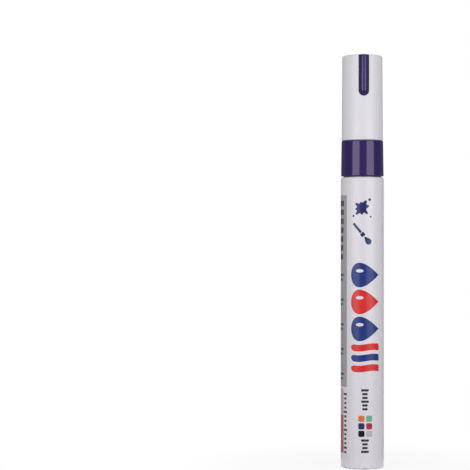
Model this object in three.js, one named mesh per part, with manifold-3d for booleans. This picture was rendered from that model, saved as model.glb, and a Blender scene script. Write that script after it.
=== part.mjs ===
// A valve-action paint marker: an aluminium barrel of paint with a mixing ball, a coloured collar that
// holds the spring valve, a stepped nozzle with a bullet nib, and a capped end with a coloured plug.
// Millimetres, +Z up the pen, origin at the centre of the barrel's foot. The cap's rib faces -Y.
import * as THREE from "three";
import { mergeVertices } from "three/addons/utils/BufferGeometryUtils.js";
import Module from "manifold-3d";

const wasm = await Module();
wasm.setup();

// Clearances
const pressFit = 0.05; // radial gap left between pieces that are pressed together
const slideFit = 0.1; // radial gap between pieces that slide or drop in
const seatGap = 0.05; // axial gap between faces that bear on each other

// Barrel, an impact-extruded can whose mouth is rolled in over the collar's spigot
const barrelRadius = 7.5;
const barrelWall = 0.45;
const barrelLength = 101.2;
const baseThickness = 0.9;
const footRounding = 1.3;
const cornerRounding = 0.6; // inside, where the wall meets the base
const dishRadius = 4.6;
const dishDepth = 0.35;
const lipRounding = 0.9;

// Collar, the coloured holder pressed into the barrel
const collarHeight = 12.45; // the part that shows
const collarRise = 0.2; // gap between the rolled lip and the collar's underside
const collarStep = 0.05; // how far the collar lies inside the barrel's outline
const collarTaper = 0.17; // loss of radius from its foot to its top
const collarEdge = 0.3; // rounding of both rims
const neckWall = 1.15;
const spigotLength = 9.2; // from the underside down into the barrel
const spigotLead = 0.4; // chamfer that guides it in
const ledgeWidth = 1.1; // step in the bore that carries the valve cage
const cageGuideLength = 8.8; // bore below that step
const gasketDrop = 3.0; // from the rolled lip down to the gasket's groove
const gasketHeight = 1.3;
const gasketDepth = 0.7;

// Valve cage, seat, rod and spring
const cageFlange = 1.2;
const cageWall = 0.9;
const cageFloor = 1.0;
const windowCount = 4;
const windowWidth = 2.2;
const windowHeight = 5.0;
const windowSill = 0.8; // wall left between the cage's floor and its windows
const windowDrop = 0.9; // from the spigot's end to the windows
const inletRadius = 1.4;
const seatThickness = 1.0;
const seatOverlap = 1.0; // how much wider the valve head is than the hole that it closes
const paintGap = 0.6; // round the valve head, inside the cage
const stemGap = 0.7; // round the stem, inside the seat's hole
const headSkirt = 0.8;
const guideRadius = 1.25;
const guideLength = 8.0;
const fluteCount = 4; // along the guide
const fluteWidth = 1.0;
const fluteDepth = 0.55;
const fluteRunOut = 0.6; // plain guide left between the flutes and the head
const pusherLength = 1.5;
const wireRadius = 0.25;
const springRadius = 2.05; // to the middle of the wire
const springTurns = 8;
const springEndPitch = 1.0;

// Nozzle and nib
const capSeatLength = 7.5;
const snapHeight = 0.1;
const snapLength = 1.2;
const snapRise = 4.4; // from the collar's top to the middle of the snap bead
const seatRounding = 0.5;
const sealLandLength = 2.5;
const landChamfer = 0.3;
const coneLength = 6.1;
const tipWall = 0.8;
const tipRounding = 0.3;
const chamberStep = 0.9; // how much wider the rear chamber is than the nib's bore
const nibGuideLength = 11.0;
const channelCount = 4; // paint channels along the nib's bore
const channelWidth = 0.7;
const channelDepth = 0.45;
const crushRibCount = 6; // low ribs that hold the nozzle's plug in the collar's bore
const crushRibWidth = 0.8;
const crushRibRelief = 0.35; // how far the plug is relieved between its ribs
const crushBand = 1.6; // full-width band at each end of the plug
const nibRadius = 2.0;
const nibLength = 23.5;
const nibReach = 5.4; // beyond the nozzle's tip
const bulletLength = 4.0;
const nibChamfer = 0.4;

// Cap
const capStep = 0.08; // how far the cap's foot lies inside the collar's top
const capTaper = 0.15; // loss of radius from its foot to where its rim draws in
const capWall = 1.15; // at its foot
const capGap = 0.1; // between the cap's foot and the collar
const capRimDraw = 0.25; // loss of radius beside the rim
const capRimDrawLength = 2.3;
const capRimRounding = 0.45;
const capFootRounding = 0.2;
const nibHeadroom = 5.75;
const snapGroove = 0.12; // depth of the grooves for the snap beads
const plugThickness = 1.4;
const plugRecess = 0.15; // how far the plug's disc lies below the cap's rim
const skirtLength = 3.0;
const skirtWall = 0.9;
const skirtBead = 0.08;
const skirtBeadLength = 0.8;
const skirtBeadDrop = 1.6; // from the disc's underside to the middle of its bead
const slotWidth = 3.65;
const slotLength = 14.45;
const ribClearance = 0.05;
const ribRadius = 1.8;
const ribSink = 0.8; // how far the rib's own axis lies inside the cap's outline
const innerCapGap = 0.2; // round the inner cap, inside the plug's skirt
const innerCapWall = 0.8;
const innerCapRoof = 0.8;
const innerCapChamfer = 0.4;
const innerCapFlange = 1.0;
const innerCapRise = 0.6; // from the top of the cap's seat to the inner cap's mouth
const sealGap = 0.1;
const sealBead = 0.07;
const sealBeadLength = 0.6;

const ballRadius = 3.0;

// Facets round the pieces
const shellFacets = 40;
const innerFacets = 28;
const ballRings = 12;
const slotFacets = 10; // round the slot's half-round end
const wireFacets = 6;
const springSteps = 11; // along each turn
const axisTolerance = 1e-9; // a profile point nearer the axis than this lies on it

// Radii that follow from the ones above
const barrelBore = barrelRadius - barrelWall;
const mouthRadius = barrelRadius - lipRounding;
const neckRadius = mouthRadius - pressFit;
const spigotRadius = barrelBore - pressFit;
const collarFootRadius = barrelRadius - collarStep;
const collarTopRadius = collarFootRadius - collarTaper;
const collarBore = neckRadius - neckWall;
const cageBore = collarBore - ledgeWidth;
const cageRadius = cageBore - slideFit;
const cageInside = cageRadius - cageWall;
const headRadius = cageInside - paintGap;
const seatHole = headRadius - seatOverlap;
const stemRadius = seatHole - stemGap;
const plugRadius = collarBore - pressFit;
const capFootRadius = collarTopRadius - capStep;
const capTopRadius = capFootRadius - capTaper;
const capRimRadius = capTopRadius - capRimDraw;
const capBore = capFootRadius - capWall;
const snapRadius = capBore - pressFit;
const capSeatRadius = snapRadius - snapHeight;
const skirtRadius = capBore - pressFit;
const skirtInside = skirtRadius - skirtWall;
const innerCapRadius = skirtInside - innerCapGap;
const innerCapBore = innerCapRadius - innerCapWall;
const sealLandRadius = innerCapBore - sealGap;
const nibBore = nibRadius + slideFit;
const tipRadius = nibBore + tipWall;
const chamberRadius = nibBore + chamberStep;

// Heights that follow from the lengths above
const collarFoot = barrelLength + collarRise;
const collarTop = collarFoot + collarHeight;
const spigotEnd = collarFoot - spigotLength;
const ledge = spigotEnd + cageGuideLength;
const flangeFoot = ledge + seatGap;
const flangeTop = flangeFoot + cageFlange;
const seatFoot = flangeTop + seatGap;
const seatTop = seatFoot + seatThickness;
const plugFoot = seatTop + seatGap;
const windowTop = spigotEnd - windowDrop;
const windowFoot = windowTop - windowHeight;
const floorTop = windowFoot - windowSill;
const cageFoot = floorTop - cageFloor;
const shoulder = collarTop + seatGap;
const capSeatTop = shoulder + capSeatLength;
const landTop = capSeatTop + sealLandLength;
const snapMiddle = shoulder + snapRise;
const nozzleTip = landTop + coneLength;
const nibTip = nozzleTip + nibReach;
const nibRear = nibTip - nibLength;
const chamberTop = nozzleTip - nibGuideLength;
const rodTop = nibRear - seatGap;
const capFoot = collarTop + capGap;
const innerCapFoot = capSeatTop + innerCapRise;
const innerCapCeiling = nibTip + nibHeadroom;
const innerCapTop = innerCapCeiling + innerCapRoof;
const discFoot = innerCapTop + seatGap;
const discTop = discFoot + plugThickness;
const capTop = discTop + plugRecess;
const skirtFoot = discFoot - skirtLength;
const skirtBeadMiddle = discFoot - skirtBeadDrop;
const slotEnd = capTop - slotLength;

// Profile points [r, z] along an arc about (r, z); the angles are in degrees from +r towards +z.
function arc(r, z, radius, from, to, steps) {
  const points = [];
  for (let i = 0; i <= steps; i++) {
    const angle = THREE.MathUtils.degToRad(from + ((to - from) * i) / steps);
    points.push([r + radius * Math.cos(angle), z + radius * Math.sin(angle)]);
  }
  return points;
}

// Profile points of a snap bead from its lower end up: it stands out from radius r by rise, flat over the
// middle third of its length. A negative rise makes it stand inwards.
function bead(r, rise, middle, length) {
  return [
    [r, middle - length / 2],
    [r + rise, middle - length / 6],
    [r + rise, middle + length / 6],
    [r, middle + length / 2],
  ];
}

// A solid turned about Z from a profile of [r, z] points that starts and ends on the axis or closes on
// itself. The profile may run either way round.
function turned(profile, facets) {
  const points = profile.map(([r, z]) => [Math.abs(r) < axisTolerance ? 0 : r, z]);
  const closesOnAxis = points[0][0] === 0 && points.at(-1)[0] === 0;
  if (!closesOnAxis) points.push(points[0]);
  let area = 0;
  for (let i = 0; i < points.length; i++) {
    const [r0, z0] = points[i];
    const [r1, z1] = points[(i + 1) % points.length];
    area += r0 * z1 - r1 * z0;
  }
  if (area < 0) points.reverse();
  const lathe = new THREE.LatheGeometry(
    points.map(([r, z]) => new THREE.Vector2(r, z)),
    facets,
  );
  return solidOf(lathe.rotateX(Math.PI / 2));
}

// A three.js geometry as a manifold-3d solid, with shared vertices merged and flat triangles dropped.
function solidOf(geometry) {
  const bare = new THREE.BufferGeometry().setAttribute("position", geometry.getAttribute("position"));
  if (geometry.index) bare.setIndex(geometry.index);
  const merged = mergeVertices(bare, 1e-4);
  const index = merged.index.array;
  const kept = [];
  for (let i = 0; i < index.length; i += 3) {
    const [a, b, c] = [index[i], index[i + 1], index[i + 2]];
    if (a !== b && b !== c && c !== a) kept.push(a, b, c);
  }
  return new wasm.Manifold(
    new wasm.Mesh({
      numProp: 3,
      vertProperties: new Float32Array(merged.getAttribute("position").array),
      triVerts: new Uint32Array(kept),
    }),
  );
}

// A manifold-3d solid as a three.js geometry.
function geometryOf(solid) {
  const mesh = solid.getMesh();
  return new THREE.BufferGeometry()
    .setAttribute("position", new THREE.BufferAttribute(new Float32Array(mesh.vertProperties), 3))
    .setIndex(new THREE.BufferAttribute(new Uint32Array(mesh.triVerts), 1));
}

// A box from its lowest and highest corners.
function block(low, high) {
  const size = high.map((value, i) => value - low[i]);
  const middle = high.map((value, i) => (value + low[i]) / 2);
  return solidOf(new THREE.BoxGeometry(...size).translate(...middle));
}

// The same tool solid at count equal angles about Z, joined into one.
function ringOf(tool, count) {
  let all = tool;
  for (let i = 1; i < count; i++) all = all.add(tool.rotate([0, 0, (360 * i) / count]));
  return all;
}

const finishes = {
  lacquer: { color: 0xe4e2e6, roughness: 0.34, metalness: 0.0 },
  colour: { color: 0x372e5d, roughness: 0.2, metalness: 0.0 },
  whitePlastic: { color: 0xe6e4ea, roughness: 0.38, metalness: 0.0 },
  naturalPlastic: { color: 0xe8e6dc, roughness: 0.5, metalness: 0.0 },
  rubber: { color: 0x2a2a2c, roughness: 0.8, metalness: 0.0 },
  steel: { color: 0xc4c6c8, roughness: 0.25, metalness: 1.0 },
  fibre: { color: 0xefece4, roughness: 0.95, metalness: 0.0 },
};

function part(name, solid, finish) {
  const mesh = new THREE.Mesh(geometryOf(solid), new THREE.MeshStandardMaterial(finishes[finish]));
  mesh.name = name;
  return mesh;
}

// Barrel: one skin from the dished base, round the foot, up the wall and round the rolled lip, then back
// down inside at the wall's own thickness.
function barrel() {
  const lip = [mouthRadius, barrelLength - lipRounding];
  const dishSphere = (dishRadius ** 2 + dishDepth ** 2) / (2 * dishDepth);
  const dishAngle = THREE.MathUtils.radToDeg(Math.asin(dishRadius / dishSphere));
  const dish = arc(0, dishDepth - dishSphere, dishSphere, 90, 90 - dishAngle, 3);
  const corner = [barrelBore - cornerRounding, baseThickness + cornerRounding];
  return turned(
    [
      ...dish,
      ...arc(barrelRadius - footRounding, footRounding, footRounding, -90, 0, 5),
      ...arc(...lip, lipRounding, 0, 90, 4),
      ...arc(...lip, lipRounding - barrelWall, 90, 0, 3),
      ...arc(...corner, cornerRounding, 0, -90, 2),
      [0, baseThickness],
    ],
    shellFacets,
  );
}

// Collar: the tapered band that shows, the neck that the barrel's lip is rolled into, and the spigot with
// its gasket groove. The bore steps in to carry the valve cage.
function collar() {
  const shoulderTop = barrelLength - lipRounding;
  const gasketTop = barrelLength - gasketDrop;
  const grooveRadius = spigotRadius - gasketDepth;
  return turned(
    [
      [cageBore, spigotEnd],
      [spigotRadius - spigotLead, spigotEnd],
      [spigotRadius, spigotEnd + spigotLead],
      [spigotRadius, gasketTop - gasketHeight],
      [grooveRadius, gasketTop - gasketHeight],
      [grooveRadius, gasketTop],
      [spigotRadius, gasketTop],
      [spigotRadius, shoulderTop - (spigotRadius - neckRadius)],
      [neckRadius, shoulderTop],
      [neckRadius, collarFoot],
      ...arc(collarFootRadius - collarEdge, collarFoot + collarEdge, collarEdge, -90, 0, 2),
      ...arc(collarTopRadius - collarEdge, collarTop - collarEdge, collarEdge, 0, 90, 3),
      [collarBore, collarTop],
      [collarBore, ledge],
      [cageBore, ledge],
    ],
    shellFacets,
  );
}

// Gasket: a soft ring in the collar's groove, rounded where it bears on the barrel's wall.
function barrelGasket() {
  const foot = barrelLength - gasketDrop - gasketHeight + seatGap;
  const top = barrelLength - gasketDrop - seatGap;
  const inside = spigotRadius - gasketDepth + pressFit;
  const outside = barrelBore - pressFit / 2;
  const rounding = (top - foot) / 2;
  return turned(
    [[inside, foot], ...arc(outside - rounding, foot + rounding, rounding, -90, 90, 4), [inside, top]],
    shellFacets,
  );
}

// Valve cage: a flanged cup with windows that let the paint in, and a floor that carries the spring.
function valveCage() {
  const flangeRadius = collarBore - pressFit;
  const cup = turned(
    [
      [inletRadius, cageFoot],
      [cageRadius, cageFoot],
      [cageRadius, flangeFoot],
      [flangeRadius, flangeFoot],
      [flangeRadius, flangeTop],
      [cageInside, flangeTop],
      [cageInside, floorTop],
      [inletRadius, floorTop],
    ],
    innerFacets,
  );
  const window = block(
    [inletRadius, -windowWidth / 2, windowFoot],
    [cageRadius + cageWall, windowWidth / 2, windowTop],
  );
  return cup.subtract(ringOf(window, windowCount));
}

// Valve seat: the soft washer that the valve head closes, clamped between the cage and the nozzle.
function valveSeat() {
  const outside = collarBore - pressFit;
  return turned(
    [
      [seatHole, seatFoot],
      [outside, seatFoot],
      [outside, seatTop],
      [seatHole, seatTop],
    ],
    innerFacets,
  );
}

// Valve rod: a pusher under the nib, the stem through the seat, a 45 degree head that closes against the
// edge of the seat's hole, and the fluted guide that the spring stands round.
function valveRod() {
  const coneTop = seatFoot + (seatHole - stemRadius) - seatGap * Math.SQRT2;
  const coneFoot = coneTop - (headRadius - stemRadius);
  const skirtEnd = coneFoot - headSkirt;
  const guideEnd = skirtEnd - guideLength;
  const pusherRadius = seatHole - pressFit;
  const rod = turned(
    [
      [0, guideEnd],
      [guideRadius / 2, guideEnd],
      [guideRadius, guideEnd + guideRadius / 2],
      [guideRadius, skirtEnd],
      [headRadius, skirtEnd],
      [headRadius, coneFoot],
      [stemRadius, coneTop],
      [stemRadius, rodTop - pusherLength],
      [pusherRadius, rodTop - pusherLength + (pusherRadius - stemRadius)],
      [pusherRadius, rodTop],
      [0, rodTop],
    ],
    innerFacets,
  );
  const flute = block(
    [guideRadius - fluteDepth, -fluteWidth / 2, guideEnd - fluteDepth],
    [guideRadius + fluteDepth, fluteWidth / 2, skirtEnd - fluteRunOut],
  );
  return rod.subtract(ringOf(flute, fluteCount));
}

// The spring's middle line: a helix whose two end turns lie close and whose other turns share the rest of
// the height evenly, eased from one pitch to the other.
function springLine() {
  const coneTop = seatFoot + (seatHole - stemRadius) - seatGap * Math.SQRT2;
  const top = coneTop - (headRadius - stemRadius) - headSkirt - seatGap - wireRadius;
  const foot = floorTop + seatGap + wireRadius;
  const openPitch = (top - foot - 2 * springEndPitch) / (springTurns - 2);
  const steps = springTurns * springSteps;
  const points = [];
  for (let i = 0; i <= steps; i++) {
    const turn = (springTurns * i) / steps;
    const closeTurns = Math.min(turn, 1) + Math.max(turn - (springTurns - 1), 0);
    const z = foot + closeTurns * springEndPitch + (turn - closeTurns) * openPitch;
    const angle = 2 * Math.PI * turn;
    points.push(new THREE.Vector3(springRadius * Math.cos(angle), springRadius * Math.sin(angle), z));
  }
  return points;
}

// Spring: the wire's section carried along that line as one closed tube.
function valveSpring() {
  const line = springLine();
  const positions = [];
  const index = [];
  line.forEach((middle, i) => {
    const ahead = line[Math.min(i + 1, line.length - 1)];
    const behind = line[Math.max(i - 1, 0)];
    const along = ahead.clone().sub(behind).normalize();
    const outward = new THREE.Vector3(middle.x, middle.y, 0).normalize();
    const upward = along.clone().cross(outward).normalize();
    for (let k = 0; k < wireFacets; k++) {
      const angle = (2 * Math.PI * k) / wireFacets;
      const point = middle
        .clone()
        .addScaledVector(outward, wireRadius * Math.cos(angle))
        .addScaledVector(upward, wireRadius * Math.sin(angle));
      positions.push(point.x, point.y, point.z);
    }
  });
  for (let i = 0; i < line.length - 1; i++) {
    for (let k = 0; k < wireFacets; k++) {
      const a = i * wireFacets + k;
      const b = i * wireFacets + ((k + 1) % wireFacets);
      index.push(a, b, a + wireFacets, b, b + wireFacets, a + wireFacets);
    }
  }
  const last = (line.length - 1) * wireFacets;
  for (let k = 1; k < wireFacets - 1; k++) {
    index.push(0, k + 1, k);
    index.push(last, last + k, last + k + 1);
  }
  const tube = new THREE.BufferGeometry()
    .setAttribute("position", new THREE.Float32BufferAttribute(positions, 3))
    .setIndex(index);
  let solid = solidOf(tube);
  if (solid.volume() < 0) {
    tube.setIndex(index.toReversed());
    solid = solidOf(tube);
  }
  return solid;
}

// The least clear gap between one turn of the spring and the next, measured on the line's own points.
function leastSpringGap() {
  const line = springLine();
  let least = Infinity;
  line.forEach((a, i) => {
    for (let k = i + Math.ceil(springSteps / 2); k < line.length; k++) {
      least = Math.min(least, a.distanceTo(line[k]));
    }
  });
  return least - 2 * wireRadius;
}

// Nozzle: the plug in the collar's bore with its crush ribs, the seat that the cap slides over with its
// snap bead, the land that the inner cap seals on, and the cone round the nib's channelled bore.
function nozzle() {
  const body = turned(
    [
      [chamberRadius, plugFoot],
      [plugRadius, plugFoot],
      [plugRadius, shoulder],
      [capSeatRadius, shoulder],
      ...bead(capSeatRadius, snapHeight, snapMiddle, snapLength),
      ...arc(capSeatRadius - seatRounding, capSeatTop - seatRounding, seatRounding, 0, 90, 2),
      [sealLandRadius, capSeatTop],
      [sealLandRadius, landTop - landChamfer],
      [sealLandRadius - landChamfer, landTop],
      ...arc(tipRadius - tipRounding, nozzleTip - tipRounding, tipRounding, 10, 90, 2),
      [nibBore, nozzleTip],
      [nibBore, chamberTop],
      [chamberRadius, chamberTop - chamberStep],
    ],
    shellFacets,
  );
  const channel = block(
    [nibBore - channelDepth, -channelWidth / 2, chamberTop - chamberStep],
    [nibBore + channelDepth, channelWidth / 2, nozzleTip + channelDepth],
  );
  const relieved = turned(
    [
      [plugRadius - crushRibRelief, plugFoot + crushBand],
      [plugRadius + crushRibRelief, plugFoot + crushBand],
      [plugRadius + crushRibRelief, shoulder - crushBand],
      [plugRadius - crushRibRelief, shoulder - crushBand],
    ],
    shellFacets,
  );
  const rib = block(
    [plugRadius - 2 * crushRibRelief, -crushRibWidth / 2, plugFoot],
    [plugRadius + 2 * crushRibRelief, crushRibWidth / 2, shoulder],
  );
  const hollows = relieved.subtract(ringOf(rib, crushRibCount));
  return body.subtract(hollows).subtract(ringOf(channel, channelCount));
}

// Nib: a round fibre rod with a chamfered rear end and a half-ellipsoid bullet point.
function nib() {
  const bulletFoot = nibTip - bulletLength;
  const steps = 8;
  const profile = [
    [0, nibRear],
    [nibRadius - nibChamfer, nibRear],
    [nibRadius, nibRear + nibChamfer],
  ];
  for (let i = 0; i <= steps; i++) {
    const angle = (Math.PI / 2) * (i / steps);
    profile.push([nibRadius * Math.cos(angle), bulletFoot + bulletLength * Math.sin(angle)]);
  }
  return turned(profile, innerFacets);
}

// The outline of the cap's slot, or of the rib that fills it, as a solid prism along Y: straight sides
// with a half-round lower end.
function slotPrism(width, foot, top, near, far) {
  const half = width / 2;
  const shape = new THREE.Shape();
  shape.moveTo(-half, top);
  shape.lineTo(-half, foot + half);
  shape.absarc(0, foot + half, half, Math.PI, 2 * Math.PI, false);
  shape.lineTo(half, top);
  shape.closePath();
  const options = { depth: far - near, bevelEnabled: false, curveSegments: slotFacets };
  const prism = new THREE.ExtrudeGeometry(shape, options);
  return solidOf(prism.rotateX(Math.PI / 2).translate(0, -near, 0));
}

// Cap shell: a tapered tube that draws in to a rounded rim, with grooves inside for the snap beads of the
// plug and the seat, and a slot that is open at the rim.
function capShell() {
  const grooveRadius = capBore + snapGroove;
  const groove = (middle, length) => [
    [capBore, middle + length / 2 + snapGroove],
    [grooveRadius, middle + length / 2],
    [grooveRadius, middle - length / 2],
    [capBore, middle - length / 2 - snapGroove],
  ];
  const tube = turned(
    [
      [capBore, capFoot],
      ...arc(capFootRadius - capFootRounding, capFoot + capFootRounding, capFootRounding, -90, 0, 2),
      [capTopRadius, capTop - capRimDrawLength],
      ...arc(capRimRadius - capRimRounding, capTop - capRimRounding, capRimRounding, 0, 90, 4),
      [capBore, capTop],
      ...groove(skirtBeadMiddle, skirtBeadLength),
      ...groove(snapMiddle, snapLength),
    ],
    shellFacets,
  );
  return tube.subtract(slotPrism(slotWidth, slotEnd, capTop + capWall, innerCapRadius, barrelRadius));
}

// Colour plug: a disc and skirt that close the cap's end, carrying a half-round rib with a spherical lower
// end that fills the cap's slot and stands a little proud of it.
function colourPlug() {
  const stopper = turned(
    [
      [0, discFoot],
      [skirtInside, discFoot],
      [skirtInside, skirtFoot],
      [skirtRadius, skirtFoot],
      ...bead(skirtRadius, skirtBead, skirtBeadMiddle, skirtBeadLength),
      [skirtRadius, discTop],
      [0, discTop],
    ],
    shellFacets,
  );
  const width = slotWidth - 2 * ribClearance;
  const ribEnd = slotEnd + ribClearance;
  const ribAxis = capTopRadius - ribSink;
  const sphereMiddle = ribEnd + width / 2;
  const root = slotPrism(width, ribEnd, capTop, skirtInside, ribAxis);
  const round = turned(
    [...arc(0, sphereMiddle, ribRadius, -90, 0, 8), [ribRadius, capTop], [0, capTop]],
    shellFacets,
  ).translate([0, -ribAxis, 0]);
  const face = slotPrism(width, ribEnd, capTop, skirtInside, ribAxis + ribRadius).intersect(round);
  return stopper.add(root).add(face);
}

// Inner cap: a soft cup held in the shell by its flange, with a bead near its mouth that seals on the
// nozzle's land.
function innerCap() {
  const flangeRadius = capBore - pressFit;
  const beadMiddle = innerCapFoot + innerCapFlange / 2;
  return turned(
    [
      [0, innerCapCeiling],
      [innerCapBore, innerCapCeiling],
      ...bead(innerCapBore, -sealBead, beadMiddle, sealBeadLength).reverse(),
      [innerCapBore, innerCapFoot],
      [flangeRadius, innerCapFoot],
      [flangeRadius, innerCapFoot + innerCapFlange],
      [innerCapRadius, innerCapFoot + innerCapFlange],
      [innerCapRadius, innerCapTop - innerCapChamfer],
      [innerCapRadius - innerCapChamfer, innerCapTop],
      [0, innerCapTop],
    ],
    shellFacets,
  );
}

// Mixing ball: loose in the paint, resting on the barrel's base.
function mixingBall() {
  const ball = new THREE.SphereGeometry(ballRadius, innerFacets, ballRings);
  return solidOf(ball.rotateX(Math.PI / 2).translate(0, 0, baseThickness + seatGap + ballRadius));
}

console.log(`least gap between the spring's turns: ${leastSpringGap().toFixed(2)} mm`);

const pen = new THREE.Group();
pen.name = "paint_marker";
pen.add(
  part("barrel", barrel(), "lacquer"),
  part("collar", collar(), "colour"),
  part("barrel_gasket", barrelGasket(), "rubber"),
  part("valve_cage", valveCage(), "naturalPlastic"),
  part("valve_seat", valveSeat(), "rubber"),
  part("valve_rod", valveRod(), "naturalPlastic"),
  part("valve_spring", valveSpring(), "steel"),
  part("nozzle", nozzle(), "whitePlastic"),
  part("nib", nib(), "fibre"),
  part("mixing_ball", mixingBall(), "steel"),
  part("cap_shell", capShell(), "whitePlastic"),
  part("colour_plug", colourPlug(), "colour"),
  part("inner_cap", innerCap(), "naturalPlastic"),
);

export default pen;
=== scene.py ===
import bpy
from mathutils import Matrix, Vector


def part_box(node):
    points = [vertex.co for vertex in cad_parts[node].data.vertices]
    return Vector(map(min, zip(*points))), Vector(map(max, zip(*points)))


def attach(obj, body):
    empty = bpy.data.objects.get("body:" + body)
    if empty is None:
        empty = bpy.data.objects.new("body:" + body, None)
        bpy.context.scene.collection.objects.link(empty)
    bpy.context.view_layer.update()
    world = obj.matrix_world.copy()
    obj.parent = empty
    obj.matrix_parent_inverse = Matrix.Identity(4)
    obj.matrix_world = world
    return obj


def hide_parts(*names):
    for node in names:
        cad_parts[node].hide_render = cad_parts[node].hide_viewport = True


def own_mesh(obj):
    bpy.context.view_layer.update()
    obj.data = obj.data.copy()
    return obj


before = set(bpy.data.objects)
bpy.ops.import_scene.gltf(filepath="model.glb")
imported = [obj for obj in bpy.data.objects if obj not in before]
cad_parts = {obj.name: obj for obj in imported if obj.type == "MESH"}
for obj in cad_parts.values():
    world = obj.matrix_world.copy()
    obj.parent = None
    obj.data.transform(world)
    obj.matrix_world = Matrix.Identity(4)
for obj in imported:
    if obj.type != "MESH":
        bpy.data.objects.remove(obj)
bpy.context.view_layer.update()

# A capped valve-action paint marker, standing on its foot. Sizes are in millimetres along the pen's own
# axes: +Z runs up the pen to the cap's end, and -Y faces the viewer and carries the cap's rib. Angles
# round the pen are measured from -Y towards +X. Settings hold metres, as Blender does.
import math

import bpy
import numpy as np
from bpy.props import FloatProperty, FloatVectorProperty, IntProperty, PointerProperty
from bpy.types import NodeSocket, Operator, Panel, PropertyGroup

bl_info = {
    "name": "Paint marker",
    "version": (1, 0, 0),
    "blender": (4, 5, 0),
    "location": "3D View > Sidebar > Paint marker",
    "description": "Builds a capped valve-action paint marker and the studio that it stands in",
    "category": "Add Mesh",
}

MM = 0.001  # metres in a millimetre
WELD = 1e-4  # points closer than this are one point
ROUND = 192  # points round a large piece
CREASE = math.radians(32)  # a sharper edge than this stays crisp
CORNER_STEPS = 6  # steps along a rounded corner
BRACE = 0.2  # distance of the bracing rows from the ends of a long straight stretch
WHITE = (1.0, 1.0, 1.0, 1.0)

# Heights and radii that the pieces share
COLLAR_FOOT = 101.4
SEAT_SHOULDER = 113.9
SNAP_MIDDLE = 118.3  # the bead that holds the cap
SNAP_LENGTH = 1.2
SKIRT_BEAD_MIDDLE = 140.4  # the bead that holds the plug
SKIRT_BEAD_LENGTH = 0.8
SLOT_END = 129.1
RIB_CLEARANCE = 0.05
RIB_CREST = 8.05  # distance of the rib's crest from the pen's axis
SKIRT_INSIDE = 5.1
DISC_TOP = 143.4


def box_size(node):
    """Outside radius, foot and top of a CAD node, in millimetres."""
    low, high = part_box(node)
    return high.x / MM, low.z / MM, high.z / MM


BARREL_RADIUS, _, BARREL_TOP = box_size("barrel")
COLLAR_RADIUS, SPIGOT_END, COLLAR_TOP = box_size("collar")
CAP_RADIUS, CAP_FOOT, CAP_TOP = box_size("cap_shell")
NOZZLE_RADIUS, PLUG_FOOT, NOZZLE_TIP = box_size("nozzle")
NIB_RADIUS, NIB_REAR, NIB_TIP = box_size("nib")
INNER_CAP_RADIUS, INNER_CAP_FOOT, INNER_CAP_TOP = box_size("inner_cap")
BALL_RADIUS, BALL_FOOT, _ = box_size("mixing_ball")
_, SPRING_FOOT, SPRING_TOP = box_size("valve_spring")


# Settings


def size(name, description, millimetres):
    """A length setting, whose default is given in millimetres."""
    kind = {"min": 0.0, "unit": "LENGTH", "subtype": "DISTANCE", "precision": 5}
    return FloatProperty(name=name, description=description, default=millimetres * MM, **kind)


def colour(name, description, *display):
    """A colour setting, whose default is given as display values from 0 to 255."""
    share = np.array(display) / 255
    linear = np.where(share > 0.04045, ((share + 0.055) / 1.055) ** 2.4, share / 12.92)
    kind = {"min": 0.0, "max": 1.0, "size": 3, "subtype": "COLOR"}
    return FloatVectorProperty(name=name, description=description, default=tuple(linear.tolist()), **kind)


def number(name, description, value, most):
    """A plain number setting."""
    return FloatProperty(name=name, description=description, default=value, min=0.0, max=most)


class PenBarrelSettings(PropertyGroup):
    radius: size("Radius", "Outside radius of the can", BARREL_RADIUS)
    wall: size("Wall", "Thickness of the can's wall", 0.45)
    foot_rounding: size("Foot rounding", "Rounding between the base and the wall", 0.5)
    lip_rounding: size("Lip rounding", "Rounding of the lip that is rolled in at the mouth", 0.9)
    dish_radius: size("Dish radius", "Radius of the hollow in the base", 4.6)
    dish_depth: size("Dish depth", "Depth of the hollow in the base", 0.35)
    lacquer: colour("Lacquer", "Colour of the can's lacquer", 218, 215, 221)


class PenCollarSettings(PropertyGroup):
    edge: size("Edge rounding", "Rounding of both rims of the collar", 0.3)
    bore: size("Bore", "Radius of the bore that holds the nozzle", 5.4)
    plastic: colour("Colour", "Colour that the paint inside has", 53, 42, 93)


class PenCapSettings(PropertyGroup):
    taper: size("Taper", "Loss of radius from the cap's foot to its rim", 0.2)
    bore: size("Bore", "Inside radius of the cap", 6.05)
    rim_rounding: size("Rim rounding", "Rounding of the closed end", 0.85)
    foot_rounding: size("Foot rounding", "Rounding of the open end", 0.2)
    slot_width: size("Slot width", "Width of the slot that shows the coloured rib", 3.65)
    rib_radius: size("Rib radius", "Half the width of the rib's round front", 1.8)
    rib_depth: size("Rib depth", "Depth of the rib's round front, from its crest to its widest part", 2.3)
    rib_edge: size("Rib edge", "Rounding of the rib's top edge", 0.35)
    plastic: colour("Plastic", "Colour of the cap's body", 219, 217, 223)


class PenTipSettings(PropertyGroup):
    channel_depth: size("Channel depth", "Depth of the paint channels along the nib", 0.45)
    channels: IntProperty(name="Channels", description="Paint channels round the nib", default=4, min=1)
    bullet: size("Bullet length", "Length of the nib's rounded point", 4.0)
    nozzle: colour("Nozzle", "Colour of the nozzle's plastic", 226, 225, 222)
    fibre: colour("Fibre", "Colour of the unused nib", 232, 229, 220)


class PenValveSettings(PropertyGroup):
    wire: size("Wire radius", "Radius of the spring's wire", 0.25)
    coil: size("Coil radius", "Radius of the coil, to the middle of its wire", 2.05)
    turns: IntProperty(name="Turns", description="Turns in the spring", default=8, min=3)
    end_pitch: size("End pitch", "Pitch of the first and the last turn", 1.0)
    plastic: colour("Plastic", "Colour of the valve's undyed plastic", 224, 220, 206)
    rubber: colour("Rubber", "Colour of the seals", 44, 43, 46)


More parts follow.
